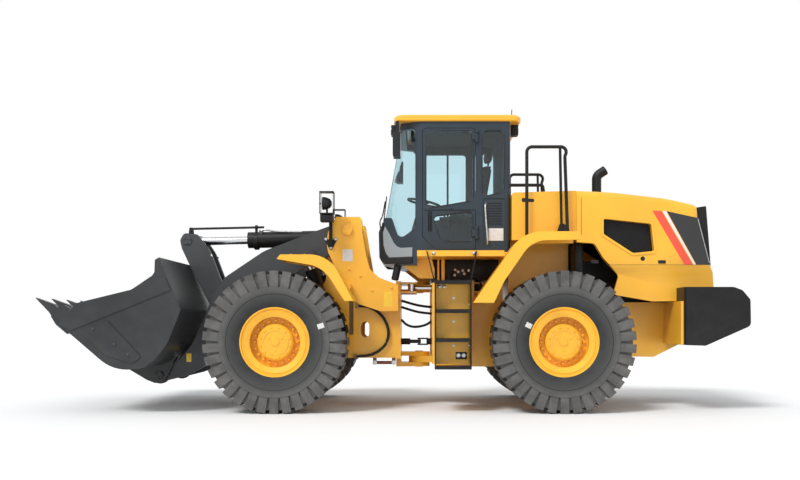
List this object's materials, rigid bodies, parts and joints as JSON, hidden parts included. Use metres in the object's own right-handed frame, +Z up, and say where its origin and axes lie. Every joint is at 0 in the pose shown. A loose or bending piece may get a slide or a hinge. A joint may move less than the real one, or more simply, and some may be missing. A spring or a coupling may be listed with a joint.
{
  "type": "articulated wheel loader",
  "caption": "Articulated wheel loader with a Z-bar loading arm, toothed rock bucket, closed cab with ladder and railings, rear engine hood and counterweight.",
  "frame": {"origin": "on the ground below the middle of the machine's length and width, bucket rolled back and lowered", "axes": "+X forward to the bucket, +Y to the driver's left, +Z up"},
  "size_m": [7.9173, 2.94, 3.421],
  "materials": {
    "body_paint": "gloss yellow-orange paint",
    "boom_paint": "dark grey satin paint",
    "bucket_paint": "charcoal paint, scratched",
    "cab_paint": "blue-grey satin paint",
    "black_paint": "black satin paint",
    "tyre": "dusty black rubber",
    "rim_paint": "gloss yellow-orange paint",
    "axle_paint": "painted casting, dusty",
    "chrome": "hard chrome, polished",
    "glass": "lightly tinted safety glass",
    "screen": "black perforated screen",
    "seat_cloth": "black cloth over foam",
    "plastic": "black moulded plastic",
    "hose": "black rubber hose",
    "steel": "galvanised tread steel"
  },
  "bodies": {
    "rear_frame": {"rear_frame": "body_paint", "rear_axle": "axle_paint", "engine_block": "black_paint", "hood": "body_paint", "hood_screens": "screen", "tank_cover": "body_paint", "rear_fenders": "body_paint", "counterweight": "black_paint", "exhaust": "black_paint", "cab_frame": "cab_paint", "cab_roof": "body_paint", "cab_glass": "glass", "platform": "body_paint", "seat": "seat_cloth", "seat_base": "plastic", "steering_column": "plastic", "side_boxes": "body_paint", "ladders": "black_paint", "handrails": "black_paint", "work_lamps": "plastic", "mirrors": "plastic", "drive_shaft_rear": "steel", "hoses": "hose"},
    "front_frame": {"front_frame": "body_paint", "front_axle": "axle_paint", "front_fenders": "body_paint", "head_lamps": "plastic", "drive_shaft_front": "steel", "lock_bar": "body_paint", "mudflaps": "hose", "frame_hoses": "hose"},
    "boom": {"boom": "boom_paint"},
    "bucket": {"bucket": "bucket_paint"},
    "rocker": {"rocker": "boom_paint"},
    "link": {"bucket_link": "boom_paint"},
    "tilt_barrel": {"tilt_barrel": "black_paint"},
    "tilt_rod": {"tilt_rod": "chrome", "tilt_gauge": "steel"},
    "cab_door": {"cab_door": "cab_paint", "door_glass": "glass"},
    "grille_door": {"rear_grille": "black_paint"},
    "lift_left_barrel": {"lift_left_barrel": "black_paint"},
    "lift_left_rod": {"lift_left_rod": "chrome"},
    "steer_left_barrel": {"steer_left_barrel": "black_paint"},
    "steer_left_rod": {"steer_left_rod": "chrome"},
    "lift_right_barrel": {"lift_right_barrel": "black_paint"},
    "lift_right_rod": {"lift_right_rod": "chrome"},
    "steer_right_barrel": {"steer_right_barrel": "black_paint"},
    "steer_right_rod": {"steer_right_rod": "chrome"},
    "wheel_front_left": {"tyre_front_left": "tyre", "rim_front_left": "rim_paint"},
    "wheel_front_right": {"tyre_front_right": "tyre", "rim_front_right": "rim_paint"},
    "wheel_rear_left": {"tyre_rear_left": "tyre", "rim_rear_left": "rim_paint"},
    "wheel_rear_right": {"tyre_rear_right": "tyre", "rim_rear_right": "rim_paint"}
  },
  "joints": [
    {"name": "articulation", "type": "hinge", "parent": "rear_frame", "child": "front_frame", "pos_m": [-0.264, 0, 0.78961], "axis": [0, 0, 1], "range_deg": [-35, 35], "deforming": ["hoses"]},
    {"name": "boom_lift", "type": "hinge", "parent": "front_frame", "child": "boom", "pos_m": [0.586, 0, 2.1], "axis": [0, -1, 0], "range_deg": [-5.7, 82.9]},
    {"name": "bucket_tilt", "type": "hinge", "parent": "boom", "child": "bucket", "pos_m": [2.816, 0, 0.385], "axis": [0, 1, 0], "range_deg": [0, 165]},
    {"name": "rocker_swing", "type": "hinge", "parent": "boom", "child": "rocker", "pos_m": [2.136, 0, 1.2], "axis": [0, -1, 0], "range_deg": [-2, 57.9]},
    {"name": "link_swing", "type": "hinge", "parent": "bucket", "child": "link", "pos_m": [2.504, 0, 0.565], "axis": [0, -1, 0], "range_deg": [-2, 139.24]},
    {"name": "tilt_barrel_swing", "type": "hinge", "parent": "front_frame", "child": "tilt_barrel", "pos_m": [0.816, 0, 2.058], "axis": [0, -1, 0], "range_deg": [-8.35, 94.36]},
    {"name": "tilt_rod_slide", "type": "slide", "parent": "tilt_barrel", "child": "tilt_rod", "axis": [0.9997, 0, -0.0226], "range_m": [-0.62172, 0.002]},
    {"name": "lift_left_barrel_swing", "type": "hinge", "parent": "front_frame", "child": "lift_left_barrel", "pos_m": [0.736, 0.69, 0.76], "axis": [0, -1, 0], "range_deg": [-2.66, 11.56]},
    {"name": "lift_left_rod_slide", "type": "slide", "parent": "lift_left_barrel", "child": "lift_left_rod", "axis": [0.2902, 0, 0.957], "range_m": [-0.0505, 0.70738]},
    {"name": "lift_right_barrel_swing", "type": "hinge", "parent": "front_frame", "child": "lift_right_barrel", "pos_m": [0.736, -0.69, 0.76], "axis": [0, -1, 0], "range_deg": [-2.66, 11.56]},
    {"name": "lift_right_rod_slide", "type": "slide", "parent": "lift_right_barrel", "child": "lift_right_rod", "axis": [0.2902, 0, 0.957], "range_m": [-0.0505, 0.70738]},
    {"name": "steer_left_barrel_swing", "type": "hinge", "parent": "rear_frame", "child": "steer_left_barrel", "pos_m": [-0.984, 0.33, 1.43], "axis": [0, 0, 1], "range_deg": [-4.5, 4.5]},
    {"name": "steer_left_rod_slide", "type": "slide", "parent": "steer_left_barrel", "child": "steer_left_rod", "axis": [0.9993, -0.037, 0], "range_m": [-0.1784, 0.1784]},
    {"name": "steer_right_barrel_swing", "type": "hinge", "parent": "rear_frame", "child": "steer_right_barrel", "pos_m": [-0.984, -0.33, 1.43], "axis": [0, 0, 1], "range_deg": [-4.5, 4.5]},
    {"name": "steer_right_rod_slide", "type": "slide", "parent": "steer_right_barrel", "child": "steer_right_rod", "axis": [0.9993, 0.037, 0], "range_m": [-0.1784, 0.1784]},
    {"name": "wheel_front_left_roll", "type": "hinge", "parent": "front_frame", "child": "wheel_front_left", "pos_m": [1.336, 1.1, 0.78961], "axis": [0, 1, 0], "continuous": true},
    {"name": "wheel_front_right_roll", "type": "hinge", "parent": "front_frame", "child": "wheel_front_right", "pos_m": [1.336, -1.1, 0.78961], "axis": [0, 1, 0], "continuous": true},
    {"name": "wheel_rear_left_roll", "type": "hinge", "parent": "rear_frame", "child": "wheel_rear_left", "pos_m": [-1.864, 1.1, 0.78961], "axis": [0, 1, 0], "continuous": true},
    {"name": "wheel_rear_right_roll", "type": "hinge", "parent": "rear_frame", "child": "wheel_rear_right", "pos_m": [-1.864, -1.1, 0.78961], "axis": [0, 1, 0], "continuous": true},
    {"name": "cab_door_swing", "type": "hinge", "parent": "rear_frame", "child": "cab_door", "pos_m": [-0.932, 0.822, 2.5], "axis": [0, 0, 1], "range_deg": [0, 120]},
    {"name": "grille_door_swing", "type": "hinge", "parent": "rear_frame", "child": "grille_door", "pos_m": [-3.5535, -0.79, 1.9335], "axis": [0.2283, 0, 0.9736], "range_deg": [0, 95]}
  ],
  "couplings": [
    {"joint": "rocker_swing", "follows": "bucket_tilt", "ratio": 0.33877},
    {"joint": "link_swing", "follows": "bucket_tilt", "ratio": 0.83174},
    {"joint": "tilt_barrel_swing", "follows": "boom_lift", "ratio": 1.114},
    {"joint": "tilt_rod_slide", "follows": "bucket_tilt", "m_per_rad": -0.2152},
    {"joint": "lift_left_barrel_swing", "follows": "boom_lift", "ratio": 0.1153},
    {"joint": "lift_left_rod_slide", "follows": "boom_lift", "m_per_rad": 0.48752},
    {"joint": "lift_right_barrel_swing", "follows": "boom_lift", "ratio": 0.1153},
    {"joint": "lift_right_rod_slide", "follows": "boom_lift", "m_per_rad": 0.48752},
    {"joint": "steer_left_barrel_swing", "follows": "articulation", "ratio": 0.071477},
    {"joint": "steer_left_rod_slide", "follows": "articulation", "m_per_rad": -0.28877},
    {"joint": "steer_right_barrel_swing", "follows": "articulation", "ratio": 0.071477},
    {"joint": "steer_right_rod_slide", "follows": "articulation", "m_per_rad": 0.28877}
  ]
}
